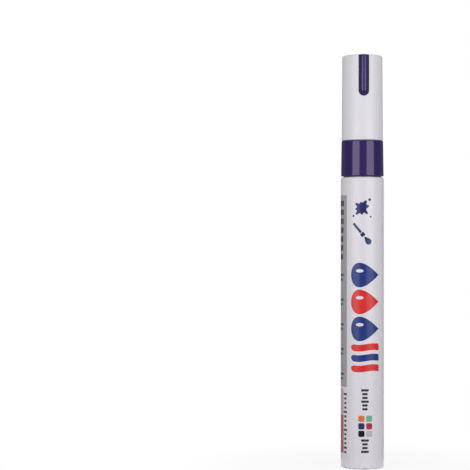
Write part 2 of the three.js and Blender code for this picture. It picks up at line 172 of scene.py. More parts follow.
class PenPrintSettings(PropertyGroup):
    film: size("Film", "Thickness of the printed ink", 0.02)
    blue: colour("Blue", "Blue of the large print", 34, 55, 126)
    red: colour("Red", "Red of the large print", 214, 44, 40)
    navy: colour("Navy", "Navy of the small drawings", 40, 46, 104)
    dark: colour("Dark", "Near black of the small marks", 62, 57, 66)
    slate: colour("Slate", "Dark grey of the marks on the barrel's side", 84, 80, 88)
    panel: colour("Panel", "Grey of the side panel", 162, 160, 166)
    pale: colour("Pale strip", "Pale pink of the strip below the panel", 196, 171, 174)
    deep: colour("Deep strip", "Dark red of the lowest strip", 174, 108, 114)


class PenStageSettings(PropertyGroup):
    left_light: number("Left softbox", "Radiance of the softbox on the viewer's left", 1.95, 20.0)
    right_light: number("Right softbox", "Radiance of the softbox on the viewer's right", 1.95, 20.0)
    back_light: number("Back softbox", "Radiance of the softbox behind the pen", 1.2, 20.0)
    sky: number("Sky", "Level of the world's light on matt surfaces", 0.4, 2.0)
    floor: colour("Floor", "Colour of the floor", 236, 236, 238)


# Shapes as arrays of points


def in_mm(settings, *names):
    """Length settings in millimetres."""
    return [getattr(settings, name) / MM for name in names]


def stacked(*parts):
    """Points from their coordinates, each an array or a number, spread to one shape."""
    return np.stack(np.broadcast_arrays(*parts), axis=-1)


def unit(vectors):
    """The vectors at a length of one."""
    return vectors / np.maximum(np.linalg.norm(vectors, axis=-1, keepdims=True), 1e-9)


def full_turn(count):
    """Angles evenly round a circle."""
    return np.linspace(0, 2 * math.pi, count, endpoint=False)


def around_pen(r, angle, z):
    """Points at a distance from the pen's axis: r sin a, -r cos a, z."""
    return stacked(r * np.sin(angle), -r * np.cos(angle), z)


def arc(r, z, radius, start, stop, steps=CORNER_STEPS):
    """Profile points: the centre (r, z) plus the radius times the cosine and sine of each angle."""
    angle = np.radians(np.linspace(start, stop, steps + 1))
    return stacked(r + radius * np.cos(angle), z + radius * np.sin(angle))


def distinct(points, loop):
    """The same run of points without those that repeat the one before."""
    kept = np.linalg.norm(points - np.roll(points, 1, axis=0), axis=1) > WELD
    kept[0] |= not loop
    return points[kept]


def rounded(corners, loop=True, steps=CORNER_STEPS):
    """A profile from rows of [r, z, rounding]. Each corner becomes an arc: its centre lies on the corner's
    bisector, the rounding over the sine of the half angle away, and the arc runs between the two points
    that lie the rounding over the tangent of the half angle along the sides."""
    corners = np.asarray(corners, float)
    place = corners[:, :2]
    radius = corners[:, 2:]
    back = unit(np.roll(place, 1, axis=0) - place)
    ahead = unit(np.roll(place, -1, axis=0) - place)
    half = np.arccos(np.clip((back * ahead).sum(axis=1, keepdims=True), -1, 1)) / 2
    bend = (radius > 0) & (half < math.pi / 2 - 1e-3)
    bend[[0, -1]] &= loop
    half = np.where(bend, half, math.pi / 4)
    radius = np.where(bend, radius, 0.0)
    middle = place + unit(back + ahead) * radius / np.sin(half)
    reach = radius / np.tan(half)
    start = place + back * reach - middle
    end = place + ahead * reach - middle
    sweep = math.pi - 2 * half[:, None]
    share = np.linspace(0, 1, steps + 1)[None, :, None]
    turn = np.sin((1 - share) * sweep) * start[:, None] + np.sin(share * sweep) * end[:, None]
    points = middle[:, None] + turn / np.sin(sweep)
    return distinct(points.reshape(-1, 2), loop)


def braced(profile, loop):
    """The profile with two more points on each long straight stretch, one brace from either end, so that
    smooth shading stays flat along it."""
    ahead = np.roll(profile, -1, axis=0) - profile
    span = np.linalg.norm(ahead, axis=1, keepdims=True)
    step = unit(ahead) * BRACE
    rows = np.stack([profile, profile + step, profile + ahead - step], axis=1)
    kept = np.repeat(span > 5 * BRACE, 3, axis=1)
    kept[-1] &= loop
    kept[:, 0] = True
    return rows[kept]


def bead(r, rise, middle, length):
    """Rows of [r, z, rounding] of a snap bead from its lower end up, flat over its middle third."""
    top = r + rise
    shares = [(r, -1 / 2), (top, -1 / 6), (top, 1 / 6), (r, 1 / 2)]
    return [[reach, middle + share * length, 0.1] for reach, share in shares]


def grid_cells(rows, columns, row_loop, column_loop):
    """The cells of a grid as corner numbers, where point (i, j) is number i times the columns plus j."""
    i = np.arange(rows if row_loop else rows - 1)[:, None]
    j = np.arange(columns if column_loop else columns - 1)[None, :]
    up = (i + 1) % rows * columns
    across = (j + 1) % columns
    corners = [i * columns + j, i * columns + across, up + across, up + j]
    return np.stack(corners, axis=-1).reshape(-1, 4)


def outward(points, cells):
    """The surface, with every cell reversed if it is inside out. Then the volume inside, a sixth of the sum
    of each triangle's scalar triple product, comes out negative."""
    a, b, c, d = points[cells].transpose(1, 0, 2)
    volume = (a * (np.cross(b, c) + np.cross(c, d))).sum() / 6
    return points, cells if volume > 0 else cells[:, ::-1]


def surface(points, row_loop=False, column_loop=False):
    """A surface as (points, cells) from points on a grid, with its cells turned outwards."""
    return outward(points.reshape(-1, 3), grid_cells(*points.shape[:2], row_loop, column_loop))


def joined(surfaces):
    """Several surfaces as one."""
    points, cells = zip(*surfaces)
    starts = np.cumsum([0] + [len(part) for part in points[:-1]])
    return np.concatenate(points), np.concatenate([part + start for part, start in zip(cells, starts)])


def revolved(profile, change=None, count=ROUND):
    """A surface of revolution: profile point i at angle a lies at r sin a, -r cos a, z. A profile that starts
    on the axis is an open run, and any other is a loop. The change, a grid of profile points by angles, is
    added to r."""
    loop = profile[0, 0] > 0
    profile = braced(distinct(profile, loop), loop)
    angle = full_turn(count)
    r = profile[:, :1]
    if change is not None:
        r = r + change(profile, angle)
    return surface(around_pen(r, angle, profile[:, 1:]), row_loop=loop, column_loop=True)


def turned(corners, change=None, count=ROUND):
    """A surface of revolution from the rows of [r, z, rounding] of its profile."""
    return revolved(rounded(corners, loop=corners[0][0] > 0), change, count)


def welded(points, cells):
    """Merges points that lie together and returns the points with the quads and triangles that are left
    of the cells."""
    keys = np.round(points / WELD).astype(np.int64)
    _, first, number_of = np.unique(keys, axis=0, return_index=True, return_inverse=True)
    cells = number_of.reshape(-1)[cells]
    apart = cells != np.roll(cells, 1, axis=1)
    corners = apart.sum(axis=1)
    quads = cells[corners == 4]
    triangles = cells[corners == 3][apart[corners == 3]].reshape(-1, 3)
    return points[first], quads, triangles


def open_edges(quads, triangles):
    """How many edges aren't shared by exactly two faces."""
    sides = [
        np.stack([faces, np.roll(faces, -1, axis=1)], axis=-1).reshape(-1, 2)
        for faces in (quads, triangles)
    ]
    _, uses = np.unique(np.sort(np.concatenate(sides), axis=1), axis=0, return_counts=True)
    return int((uses != 2).sum())


def add_mesh(context, name, points, faces, material):
    """Adds an object with a mesh, from points in metres and faces as corner numbers."""
    mesh = bpy.data.meshes.new(name)
    mesh.from_pydata(points.tolist(), [], faces)
    mesh.materials.append(material)
    made = bpy.data.objects.new(name, mesh)
    context.scene.collection.objects.link(made)
    return made


def make_piece(context, name, shape, body, material, replaces=()):
    """Makes a closed piece from a surface in millimetres, gives it its finish and puts it on its body."""
    points, quads, triangles = welded(*shape)
    if open_edges(quads, triangles) or not np.isfinite(points).all():
        raise RuntimeError(f"{name} isn't a closed surface")
    piece = add_mesh(context, name, points * MM, quads.tolist() + triangles.tolist(), material)
    piece.data.shade_smooth()
    piece.data.set_sharp_from_angle(angle=CREASE)
    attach(piece, body)
    if replaces:
        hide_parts(*replaces)
    return piece


def soften_edges(piece, width, steepest):
    """Rounds the piece's edges that are sharper than an angle in degrees."""
    bevel = piece.modifiers.new("Edge rounding", "BEVEL")
    bevel.width = width * MM
    bevel.segments = 3
    bevel.limit_method = "ANGLE"
    bevel.angle_limit = math.radians(steepest)


# Shader parts that several finishes share


def node(tree, kind, sockets=None, **fields):
    """Adds a node, sets its fields, fills its inputs with values or links, and returns its outputs."""
    made = tree.nodes.new("ShaderNode" + kind)
    for field, value in fields.items():
        setattr(made, field, value)
    for key, value in (sockets or {}).items():
        if isinstance(value, NodeSocket):
            tree.links.new(value, made.inputs[key])
        else:
            made.inputs[key].default_value = value
    return made.outputs


def maths(tree, operation, first, second=0.0, clamp=False):
    """The output of a Math node."""
    sockets = {0: first, 1: second}
    return node(tree, "Math", sockets, operation=operation, use_clamp=clamp)[0]


def ramped(tree, value, low, high, start=0.0, stop=1.0):
    """The output of a smooth Map Range node: start below low, stop above high."""
    sockets = {0: value, 1: low, 2: high, 3: start, 4: stop}
    return node(tree, "MapRange", sockets, interpolation_type="SMOOTHSTEP")[0]


def mixed(tree, share, first, second):
    """The output of a colour Mix node."""
    return node(tree, "Mix", {0: share, 6: first, 7: second}, data_type="RGBA")[2]


def object_point(tree, stretch=None):
    """Object coordinates, drawn out along the pen where a stretch is given."""
    point = node(tree, "TexCoord")["Object"]
    if stretch is None:
        return point
    scale = node(tree, "CombineXYZ", {0: 1.0, 1: 1.0, 2: stretch})[0]
    return node(tree, "VectorMath", {0: point, 1: scale}, operation="MULTIPLY")[0]


def noise(tree, scale, detail=2.0, stretch=None):
    """The value of a Noise node over the piece, around a half."""
    sockets = {"Vector": object_point(tree, stretch), "Scale": scale, "Detail": detail}
    return node(tree, "TexNoise", sockets)[0]


def surface_grain(tree, given):
    """Fine relief, as of lacquer's orange peel or a mould's spark-eroded wall: noise drawn out along the
    pen."""
    return noise(tree, given["Scale"], detail=3.0, stretch=given["Stretch"])


def handling_marks(tree, given):
    """Marks of hands and shelves: broad smudges, and hairlines that run mostly along the pen. Both make the
    gloss duller by the amount."""
    smudges = ramped(tree, noise(tree, 120.0, detail=4.0, stretch=0.6), 0.4, 0.85)
    hairlines = ramped(tree, noise(tree, 2600.0, detail=1.0, stretch=0.03), 0.71, 0.76)
    soft = maths(tree, "MULTIPLY", smudges, 0.6)
    both = maths(tree, "ADD", soft, maths(tree, "MULTIPLY", hairlines, 0.5))
    return maths(tree, "MULTIPLY", both, given["Amount"])


def colour_drift(tree, given):
    """Slow drift of a colour over the surface: lighter and darker by the drift, with finer mottling at a
    third of that."""
    broad = maths(tree, "MULTIPLY", noise(tree, 55.0, stretch=0.5), 0.75)
    fine = maths(tree, "MULTIPLY", noise(tree, 650.0), 0.25)
    value = maths(tree, "ADD", broad, fine)
    centred = maths(tree, "MULTIPLY", maths(tree, "SUBTRACT", value, 0.5), 4.0)
    gain = maths(tree, "ADD", 1.0, maths(tree, "MULTIPLY", centred, given["Drift"]))
    return node(tree, "VectorMath", {0: given["Colour"], 1: gain}, operation="MULTIPLY")[0]


def edge_wear_and_shade(tree, given):
    """A ragged band round the pen at one height, solid at that height and gone a width away: wear where a
    piece is knocked, and painted shade where a band stands in for shade."""
    height = node(tree, "SeparateXYZ", {0: object_point(tree)})[2]
    away = maths(tree, "ABSOLUTE", maths(tree, "SUBTRACT", height, given["Height"]))
    near = maths(tree, "SUBTRACT", 1.0, maths(tree, "DIVIDE", away, given["Width"]), clamp=True)
    ragged = maths(tree, "ADD", noise(tree, 1400.0, detail=4.0), -0.5)
    patchy = maths(tree, "ADD", near, maths(tree, "MULTIPLY", ragged, 2.2))
    return maths(tree, "MULTIPLY", ramped(tree, patchy, 0.75, 1.15), given["Amount"])


# Each node group: what fills it, the name of its output, and its inputs with their defaults
GROUPS = {
    "Surface grain": (surface_grain, "Height", {"Scale": 900.0, "Stretch": 1.0}),
    "Handling marks": (handling_marks, "Dulling", {"Amount": 0.1}),
    "Colour drift": (colour_drift, "Colour", {"Colour": (0.8, 0.8, 0.8, 1.0), "Drift": 0.02}),
    "Edge scuffs": (edge_wear_and_shade, "Mask", {"Height": 0.0, "Width": 0.001, "Amount": 0.5}),
}


def group_socket(group, label, side):
    """Adds an input or an output to a node group. Only one called Colour is a colour."""
    kind = "NodeSocketColor" if label == "Colour" else "NodeSocketFloat"
    return group.interface.new_socket(label, in_out=side, socket_type=kind)


def placed(tree, name, **values):
    """Puts a node group in a material, with these values, and returns its output. A group is made once."""
    group = bpy.data.node_groups.get(name)
    if group is None:
        group = bpy.data.node_groups.new(name, "ShaderNodeTree")
        fill, result, inputs = GROUPS[name]
        for label, value in inputs.items():
            group_socket(group, label, "INPUT").default_value = value
        group_socket(group, result, "OUTPUT")
        output = fill(group, group.nodes.new("NodeGroupInput").outputs)
        group.links.new(output, group.nodes.new("NodeGroupOutput").inputs[result])
    return node(tree, "Group", values, node_tree=group)[0]


def finish(name, tone, gloss, drift, marks, grain, relief, scuffs=(), **fixed):
    """A material whose colour drifts, whose gloss has handling marks and whose face has grain, given as its
    scale and its stretch along the pen. The relief is the grain's depth in millimetres. Each band of wear
    or painted shade is (height in millimetres, width, amount). The rest are fixed values of the shader's
    sockets."""
    material = bpy.data.materials.new(name)
    material.use_nodes = True
    tree = material.node_tree
    shader = tree.nodes["Principled BSDF"].inputs
    for socket, value in fixed.items():
        shader[socket.replace("_", " ")].default_value = value
    face = placed(tree, "Colour drift", Colour=(*tone, 1.0), Drift=drift)
    dulling = placed(tree, "Handling marks", Amount=marks)
    worn_and_shaded_tone = (*[0.55 * channel + 0.12 for channel in tone], 1.0)
    # Each band darkens the colour and dulls the gloss; each finish below says which bands are wear and which
    # are painted shade.
    for height, width, amount in scuffs:
        wear_and_shade_mask = placed(tree, "Edge scuffs", Height=height * MM, Width=width * MM, Amount=amount)
        face = mixed(tree, wear_and_shade_mask, face, worn_and_shaded_tone)
        dulling = maths(tree, "ADD", dulling, maths(tree, "MULTIPLY", wear_and_shade_mask, 0.25))
    tree.links.new(face, shader["Base Color"])
    tree.links.new(maths(tree, "ADD", gloss, dulling, clamp=True), shader["Roughness"])
    height = placed(tree, "Surface grain", Scale=grain[0], Stretch=grain[1])
    bump = node(tree, "Bump", {"Height": height, "Distance": relief * MM})[0]
    tree.links.new(bump, shader["Normal"])
    return material


# The pen's finishes

PEEL = {"grain": (1500.0, 0.6), "relief": 0.003}  # the lacquer's orange peel


def lacquer(settings):
    """Pale satin lacquer on the aluminium can, with orange peel, a thin darker band at its lip, and at its
    foot scuffing together with painted shade where the can meets the floor.
    """
    # The wide band at the foot is scuffing plus painted contact shade; the thin band at the lip darkens the
    # lacquer a little.
    scuffs = [(0.2, 2.6, 0.9), (BARREL_TOP - 0.05, 0.3, 0.2)]
    return finish("Lacquer", settings.lacquer, gloss=0.27, drift=0.012, marks=0.05, scuffs=scuffs, **PEEL)


def dyed_plastic(settings):
    """Glossy plastic dyed in the paint's colour, which tinges its highlights too."""
    look = dict(gloss=0.09, drift=0.05, marks=0.07, grain=(500.0, 0.25), relief=0.005)
    sheen = dict(IOR=1.59, Specular_IOR_Level=0.58, Specular_Tint=(0.93, 0.81, 1.0, 1.0))
    return finish("Dyed plastic", settings.plastic, **look, **sheen)


def cap_plastic(settings):
    """Satin white plastic of the cap, scuffed at its foot, and at its rim dirtied and darkened with painted
    shade where the rounded rim faces up.
    """
    # The band at the rim is dirt plus painted shade on the upward-facing rounding.
    scuffs = [(CAP_TOP - 0.1, 0.45, 0.35), (CAP_FOOT + 0.05, 0.25, 0.2)]
    look = dict(gloss=0.36, drift=0.012, marks=0.07, grain=(2600.0, 1.0), relief=0.003, scuffs=scuffs)
    return finish("Cap plastic", settings.plastic, **look)


def nozzle_plastic(settings):
    """White plastic of the nozzle, with a fine matt grain from the mould."""
    look = dict(gloss=0.42, drift=0.015, marks=0.05, grain=(2600.0, 1.0), relief=0.004)
    return finish("Nozzle plastic", settings.nozzle, **look)


def natural_plastic(settings):
    """Undyed plastic of the valve and the inner cap: a waxy cream."""
    look = dict(gloss=0.48, drift=0.03, marks=0.06, grain=(1800.0, 1.0), relief=0.005)
    return finish("Natural plastic", settings.plastic, **look)


def soft_rubber(settings):
    """Dark rubber of the seals, with a dusty bloom."""
    look = dict(gloss=0.78, drift=0.15, marks=0.1, grain=(2200.0, 1.0), relief=0.02)
    return finish("Soft rubber", settings.rubber, **look)


def spring_steel():
    """Drawn steel wire, with fine lines and a slight haze."""
    look = dict(gloss=0.24, drift=0.08, marks=0.15, grain=(6000.0, 0.2), relief=0.004, Metallic=1.0)
    return finish("Spring steel", (0.56, 0.57, 0.58), **look)


def ball_steel(paint):
    """Polished steel of the mixing ball, wetted in patches by the paint that it stirs."""
    look = dict(gloss=0.1, drift=0.04, marks=0.1, grain=(900.0, 1.0), relief=0.002)
    material = finish("Ball steel", (0.66, 0.67, 0.68), **look)
    tree = material.node_tree
    shader = tree.nodes["Principled BSDF"].inputs
    wet = ramped(tree, noise(tree, 420.0), 0.5, 0.56)
    bare = shader["Base Color"].links[0].from_socket
    tree.links.new(mixed(tree, wet, bare, (*paint, 1.0)), shader["Base Color"])
    tree.links.new(maths(tree, "SUBTRACT", 1.0, wet), shader["Metallic"])
    return material


def nib_fibre(settings):
    """Bonded fibre of the nib: matt, with strands along it."""
    look = dict(gloss=0.92, drift=0.05, marks=0.03, grain=(5200.0, 0.06), relief=0.05)
    return finish("Nib fibre", settings.fibre, **look)


def ink(name, tone):
    """Screen-printed ink under the can's clear coat, with its orange peel and a slightly uneven lay."""
    return finish(name, tone, gloss=0.27, drift=0.05, marks=0.05, **PEEL)


# The pieces


def barrel_shape(settings):
    """The can as one skin: the dished base, round the foot, up the wall, round the rolled lip and back down
    inside. The dish is a cap of a sphere through its own rim."""
    radius, wall, foot, lip = in_mm(settings, "radius", "wall", "foot_rounding", "lip_rounding")
    rim, depth = in_mm(settings, "dish_radius", "dish_depth")
    base_thickness = 0.9
    corner = 0.6
    sphere = (rim**2 + depth**2) / (2 * depth)
    spread = math.degrees(math.asin(rim / sphere))
    profile = np.concatenate([
        arc(0, depth - sphere, sphere, 90, 90 - spread, 8),
        arc(radius - foot, foot, foot, -90, 0, 12),
        arc(radius - lip, BARREL_TOP - lip, lip, 0, 90, 10),
        arc(radius - lip, BARREL_TOP - lip, lip - wall, 90, 0, 6),
        arc(radius - wall - corner, base_thickness + corner, corner, 0, -90, 6),
        [[0, base_thickness]],
    ])
    profile[0, 0] = 0
    return revolved(profile)


def collar_shape(settings):
    """The coloured band, the neck that the lip is rolled into, and the grooved spigot. The bore steps in to
    carry the valve cage."""
    bore, edge = in_mm(settings, "bore", "edge")
    spigot = BARREL_RADIUS - 0.5
    neck = BARREL_RADIUS - 0.95
    groove = spigot - 0.7
    groove_top = BARREL_TOP - 3.0
    groove_foot = groove_top - 1.3
    shoulder = BARREL_TOP - 0.9
    cage_bore = bore - 1.1
    ledge = SPIGOT_END + 8.8
    return turned([
        [cage_bore, SPIGOT_END, 0.1],
        [spigot, SPIGOT_END, 0.4],
        [spigot, groove_foot, 0.08],
        [groove, groove_foot, 0.08],
        [groove, groove_top, 0.08],
        [spigot, groove_top, 0.08],
        [spigot, shoulder - 0.45, 0.1],
        [neck, shoulder, 0.1],
        [neck, COLLAR_FOOT, 0.1],
        [COLLAR_RADIUS, COLLAR_FOOT, edge],
        [COLLAR_RADIUS - 0.17, COLLAR_TOP, edge],
        [bore, COLLAR_TOP, 0.15],
        [bore, ledge, 0.05],
        [cage_bore, ledge, 0.05],
    ])


def nozzle_shape(settings):
    """The plug, the seat that the cap slides over with its snap bead, the land that the inner cap seals on,
    and the cone. The bore's radius grows by the channel depth within half a channel of each channel's
    middle, with short flanks."""
    depth = settings.channel_depth / MM
    nib_bore = NIB_RADIUS + 0.1
    chamber = nib_bore + 0.9
    chamber_top = NOZZLE_TIP - 11.0
    half_width = 0.35
    flank = 0.12
    seat_top = SEAT_SHOULDER + 7.5
    land_top = seat_top + 2.5
    seat = NOZZLE_RADIUS - 0.1
    plug = 5.35
    land = 4.0

    def channels(profile, angle):
        sector = 2 * math.pi / settings.channels
        away = np.abs((angle + sector / 2) % sector - sector / 2) * (nib_bore + depth)
        cut = np.clip((half_width + flank - away) / flank, 0, 1)
        in_bore = (profile[:, 0] < nib_bore + 0.3) & (profile[:, 1] > chamber_top - 0.6)
        return depth * in_bore[:, None] * cut

    return turned([
        [chamber, PLUG_FOOT, 0.1],
        [plug, PLUG_FOOT, 0.3],
        [plug, SEAT_SHOULDER, 0.05],
        [seat, SEAT_SHOULDER, 0.1],
        *bead(seat, 0.1, SNAP_MIDDLE, SNAP_LENGTH),
        [seat, seat_top, 0.5],
        [land, seat_top, 0.15],
        [land, land_top, 0.3],
        [land - 0.3, land_top, 0.1],
        [NIB_RADIUS + 0.9, NOZZLE_TIP, 0.3],
        [nib_bore, NOZZLE_TIP, 0.04],
        [nib_bore, chamber_top, 0.0],
        [chamber, chamber_top - 0.9, 0.1],
    ], change=channels)


def nib_shape(settings):
    """A fibre rod with a chamfered rear and a half-ellipsoid point."""
    bullet = settings.bullet / MM
    shoulder = NIB_TIP - bullet
    angle = np.linspace(0, math.pi / 2, 20)
    point = stacked(NIB_RADIUS * np.cos(angle), shoulder + bullet * np.sin(angle))
    point[-1, 0] = 0
    corners = [[0, NIB_REAR, 0], [NIB_RADIUS, NIB_REAR, 0.4], [NIB_RADIUS, shoulder, 0]]
    return revolved(np.concatenate([rounded(corners, loop=False), point]), count=96)


def slot_half_width(z, half, end):
    """Half the width of a slot, or of the rib in it, at height z: nothing at its end, then a half circle,
    then the full half width."""
    below = np.clip(end + half - z, 0, half)
    return np.where(z > end, np.sqrt(np.maximum(half**2 - below**2, 0)), 0.0)


def round_end(end, half):
    """Heights up the half circle at the slot's or the rib's end, closer where it is steeper."""
    return end + half - half * np.cos(np.linspace(0, math.pi / 2, 17))


def cap_body_shape(settings):
    """A tapered tube with a round rim and a slot. Column j of row z lies at an angle between the slot's two
    sides, which is the arcsine of the slot's half width over the radius, and goes the long way round
    between them. Below the slot the sides meet. The slot's walls join the outer and the inner side
    columns."""
    taper, bore, rim, foot = in_mm(settings, "taper", "bore", "rim_rounding", "foot_rounding")
    half = settings.slot_width / MM / 2
    rim_radius = CAP_RADIUS - taper
    groove = 0.12
    chamfer = 0.15
    outer = braced(rounded([
        [CAP_RADIUS - 2 * foot, CAP_FOOT, 0],
        [CAP_RADIUS, CAP_FOOT, foot],
        [rim_radius, CAP_TOP, rim],
        [rim_radius - 1.5 * rim, CAP_TOP, 0],
    ], loop=False, steps=10), loop=False)[1:-1]
    inner = [[bore + chamfer, CAP_FOOT], [bore, CAP_FOOT + chamfer]]
    for middle, length in ((SNAP_MIDDLE, SNAP_LENGTH), (SKIRT_BEAD_MIDDLE, SKIRT_BEAD_LENGTH)):
        low, high = middle - length / 2, middle + length / 2
        inner += [[bore, low - groove], [bore + groove, low], [bore + groove, high], [bore, high + groove]]
    inner = np.array(inner)
    z = np.concatenate([outer[:, 1], inner[:, 1], round_end(SLOT_END, half)])
    z = np.unique(np.round(z, 5))
    z = z[(z >= CAP_FOOT) & (z <= CAP_TOP)]
    walls = [np.interp(z, profile[:, 1], profile[:, 0]) for profile in (outer, inner)]
    r = np.concatenate([walls[0], walls[1][::-1]])[:, None]
    level = np.concatenate([z, z[::-1]])[:, None]
    side = np.arcsin(slot_half_width(level, half, SLOT_END) / r)
    columns = ROUND + 1
    angle = side + (2 * math.pi - 2 * side) * np.linspace(0, 1, columns)
    cells = grid_cells(len(r), columns, row_loop=True, column_loop=False)
    low = np.flatnonzero(z[:-1] >= SLOT_END - WELD)
    out_low, out_high = low * columns, (low + 1) * columns
    in_low, in_high = (len(r) - 1 - low) * columns, (len(r) - 2 - low) * columns
    first = np.stack([out_low, out_high, in_high, in_low], axis=1)
    last = np.stack([out_high, out_low, in_low, in_high], axis=1) + columns - 1
    return outward(around_pen(r, angle, level).reshape(-1, 3), np.concatenate([cells, first, last]))


def rib_shape(settings):
    """The rib that fills the slot, as closed loops at rising heights. The front of a loop is half an ellipse:
    it lies behind the crest by the depth times one less the square root of one less the share. The share is
    the half width over the radius, squared, times one less the product of one less the square of the place
    across, from -1 to 1, and one less the square of the fall, from 0 to 1 at the tip. Round the top edge the
    front draws back by the edge times one less the cosine. The back is flat."""
    radius, depth, edge = in_mm(settings, "rib_radius", "rib_depth", "rib_edge")
    half = settings.slot_width / MM / 2 - RIB_CLEARANCE
    end = SLOT_END + RIB_CLEARANCE
    centre = end + half
    top = DISC_TOP + 0.02
    lead = 0.4
    bend = np.linspace(0, math.pi / 2, CORNER_STEPS + 1)
    z = np.concatenate([
        round_end(end, half),
        centre + lead * np.array([0.33, 0.67, 1, 1.6]),
        [top - edge - BRACE],
        top - edge + edge * np.sin(bend),
    ])[:, None]
    retreat = np.zeros_like(z)
    retreat[-len(bend):, 0] = edge * (1 - np.cos(bend))
    fall = np.maximum(centre + lead - z, 0) / (half + lead)
    across = np.sin(np.linspace(-math.pi / 2, math.pi / 2, 41))
    share = (half / radius) ** 2 * (1 - (1 - across**2) * (1 - fall**2))
    front = depth * (1 - np.sqrt(1 - share)) - RIB_CREST + retreat
    fronts = stacked(slot_half_width(z, half, end) * across, front, z)
    backs = fronts[:, ::-1].copy()
    backs[..., 1] = -SKIRT_INSIDE
    loops = np.concatenate([fronts, backs], axis=1)
    lid = np.repeat([[[0, depth / 2 - RIB_CREST, top]]], loops.shape[1], axis=1)
    return surface(np.concatenate([loops, lid]), column_loop=True)


def plug_shape():
    """The disc that closes the cap, with the small raised mark of its mould's gate, and the skirt with its
    snap bead."""
    skirt = SKIRT_INSIDE + 0.9
    disc_foot = INNER_CAP_TOP + 0.05
    skirt_foot = disc_foot - 3.0
    gate = 0.8
    gate_top = DISC_TOP + 0.1
    return turned([
        [0, disc_foot, 0],
        [SKIRT_INSIDE, disc_foot, 0.3],
        [SKIRT_INSIDE, skirt_foot, 0.15],
        [skirt, skirt_foot, 0.2],
        *bead(skirt, 0.08, SKIRT_BEAD_MIDDLE, SKIRT_BEAD_LENGTH),
        [skirt, DISC_TOP, 0.15],
        [gate, DISC_TOP, 0.05],
        [gate - 0.1, gate_top, 0.04],
        [0, gate_top, 0],
    ])


def inner_cap_shape():
    """The soft cup that seals on the nozzle's land, with its flange and its sealing bead."""
    cup = SKIRT_INSIDE - 0.2
    bore = cup - 0.8
    ceiling = INNER_CAP_TOP - 0.8
    flange_top = INNER_CAP_FOOT + 1.0
    return turned([
        [0, ceiling, 0],
        [bore, ceiling, 0.5],
        *bead(bore, -0.07, INNER_CAP_FOOT + 0.5, 0.6)[::-1],
        [bore, INNER_CAP_FOOT, 0.1],
        [INNER_CAP_RADIUS, INNER_CAP_FOOT, 0.15],
        [INNER_CAP_RADIUS, flange_top, 0.15],
        [cup, flange_top, 0.2],
        [cup, INNER_CAP_TOP, 0.5],
        [0, INNER_CAP_TOP, 0],
    ], count=128)


def ball_shape():
    """A sphere: its profile is a half circle from pole to pole."""
    profile = arc(0, BALL_FOOT + BALL_RADIUS, BALL_RADIUS, -90, 90, 48)
    profile[[0, -1], 0] = 0
    return revolved(profile, count=96)


def spring_shape(settings):
    """A round wire carried along a helix. The height grows by the end pitch over the first and last turn
    and evenly over the others. Ring k of the wire's section is the middle plus the wire's radius times
    the outward direction's cosine and the upward direction's sine."""
    wire, end_pitch = in_mm(settings, "wire", "end_pitch")
    turns = settings.turns
    foot = SPRING_FOOT + wire
    top = SPRING_TOP - wire
    open_pitch = (top - foot - 2 * end_pitch) / (turns - 2)
    turn = np.linspace(0, turns, turns * 48 + 1)
    close = np.minimum(turn, 1) + np.maximum(turn - (turns - 1), 0)
    angle = 2 * math.pi * turn
    outwards = stacked(np.cos(angle), np.sin(angle), 0)
    z = foot + close * end_pitch + (turn - close) * open_pitch
    middle = outwards * settings.coil / MM + stacked(0, 0, z)
    upwards = np.cross(unit(np.gradient(middle, axis=0)), outwards)
    section = full_turn(20)[None, :, None]
    ring = wire * (np.cos(section) * outwards[:, None] + np.sin(section) * upwards[:, None])
    tube = middle[:, None] + ring
    ends = [np.repeat(middle[[i], None], tube.shape[1], axis=1) for i in (0, -1)]
    return surface(np.concatenate([ends[0], tube, ends[1]]), column_loop=True)


# The print: flat outlines of [distance round the pen, height], laid on the barrel as films of ink. A mark
# is an outline with its place, and with an eye and a hole where it has a gap in it


def drop_outline(length, width):
    """A paint drop with its tip towards +X: the length's half times the cosine, by the width's half times
    the sine and a power of the half angle's sine that draws the tip out."""
    a = full_turn(72)
    across = np.sin(a) * np.sin(a / 2) ** 1.4
    return stacked(length / 2 * np.cos(a), width / 2 * across / across.max())


def stroke_outline(length, width, sway):
    """A brush stroke from a round end at -X to a ragged end at +X. Along the way its middle line sways as a
    sine, and its ragged end's reach varies as the sum of two sines across the stroke."""
    half = width / 2
    start = length / 2 - half
    steps = 40
    a = np.linspace(math.pi / 2, 3 * math.pi / 2, steps)
    run = np.linspace(-start, length / 2, steps)[1:-1]
    across = np.linspace(-half, half, 2 * steps)
    share = across / half
    ragged = (0.22 * np.sin(9.0 * share) + 0.14 * np.sin(15.0 * share + 1.0)) * (1 - share**6)
    outline = np.concatenate([
        stacked(-start + half * np.cos(a), half * np.sin(a)),
        stacked(run, -half),
        stacked(length / 2 - 0.25 * share**4 + ragged, across),
        stacked(run[::-1], half),
    ])
    outline[:, 1] += sway * np.sin(2 * math.pi * outline[:, 0] / length)
    return outline


def dot_outline(radius):
    """A circle."""
    a = full_turn(32)
    return radius * stacked(np.cos(a), np.sin(a))


def splash_outline(radius):
    """A splash of paint: a circle with uneven lobes. Each lobe adds its height times the exponential of its
    sharpness times the cosine of the angle from its own direction, less one."""
    a = full_turn(240)
    heading, height, sharpness = np.array([
        [0.3, 0.36, 30],
        [1.05, 0.5, 22],
        [1.75, 0.2, 45],
        [2.5, 0.42, 26],
        [3.3, 0.28, 40],
        [3.95, 0.52, 30],
        [4.7, 0.24, 24],
        [5.5, 0.44, 34],
    ]).T
    lobes = height * np.exp(sharpness * (np.cos(a[:, None] - heading) - 1))
    r = radius * (0.52 + lobes.sum(axis=1))
    return stacked(r * np.cos(a), r * np.sin(a))


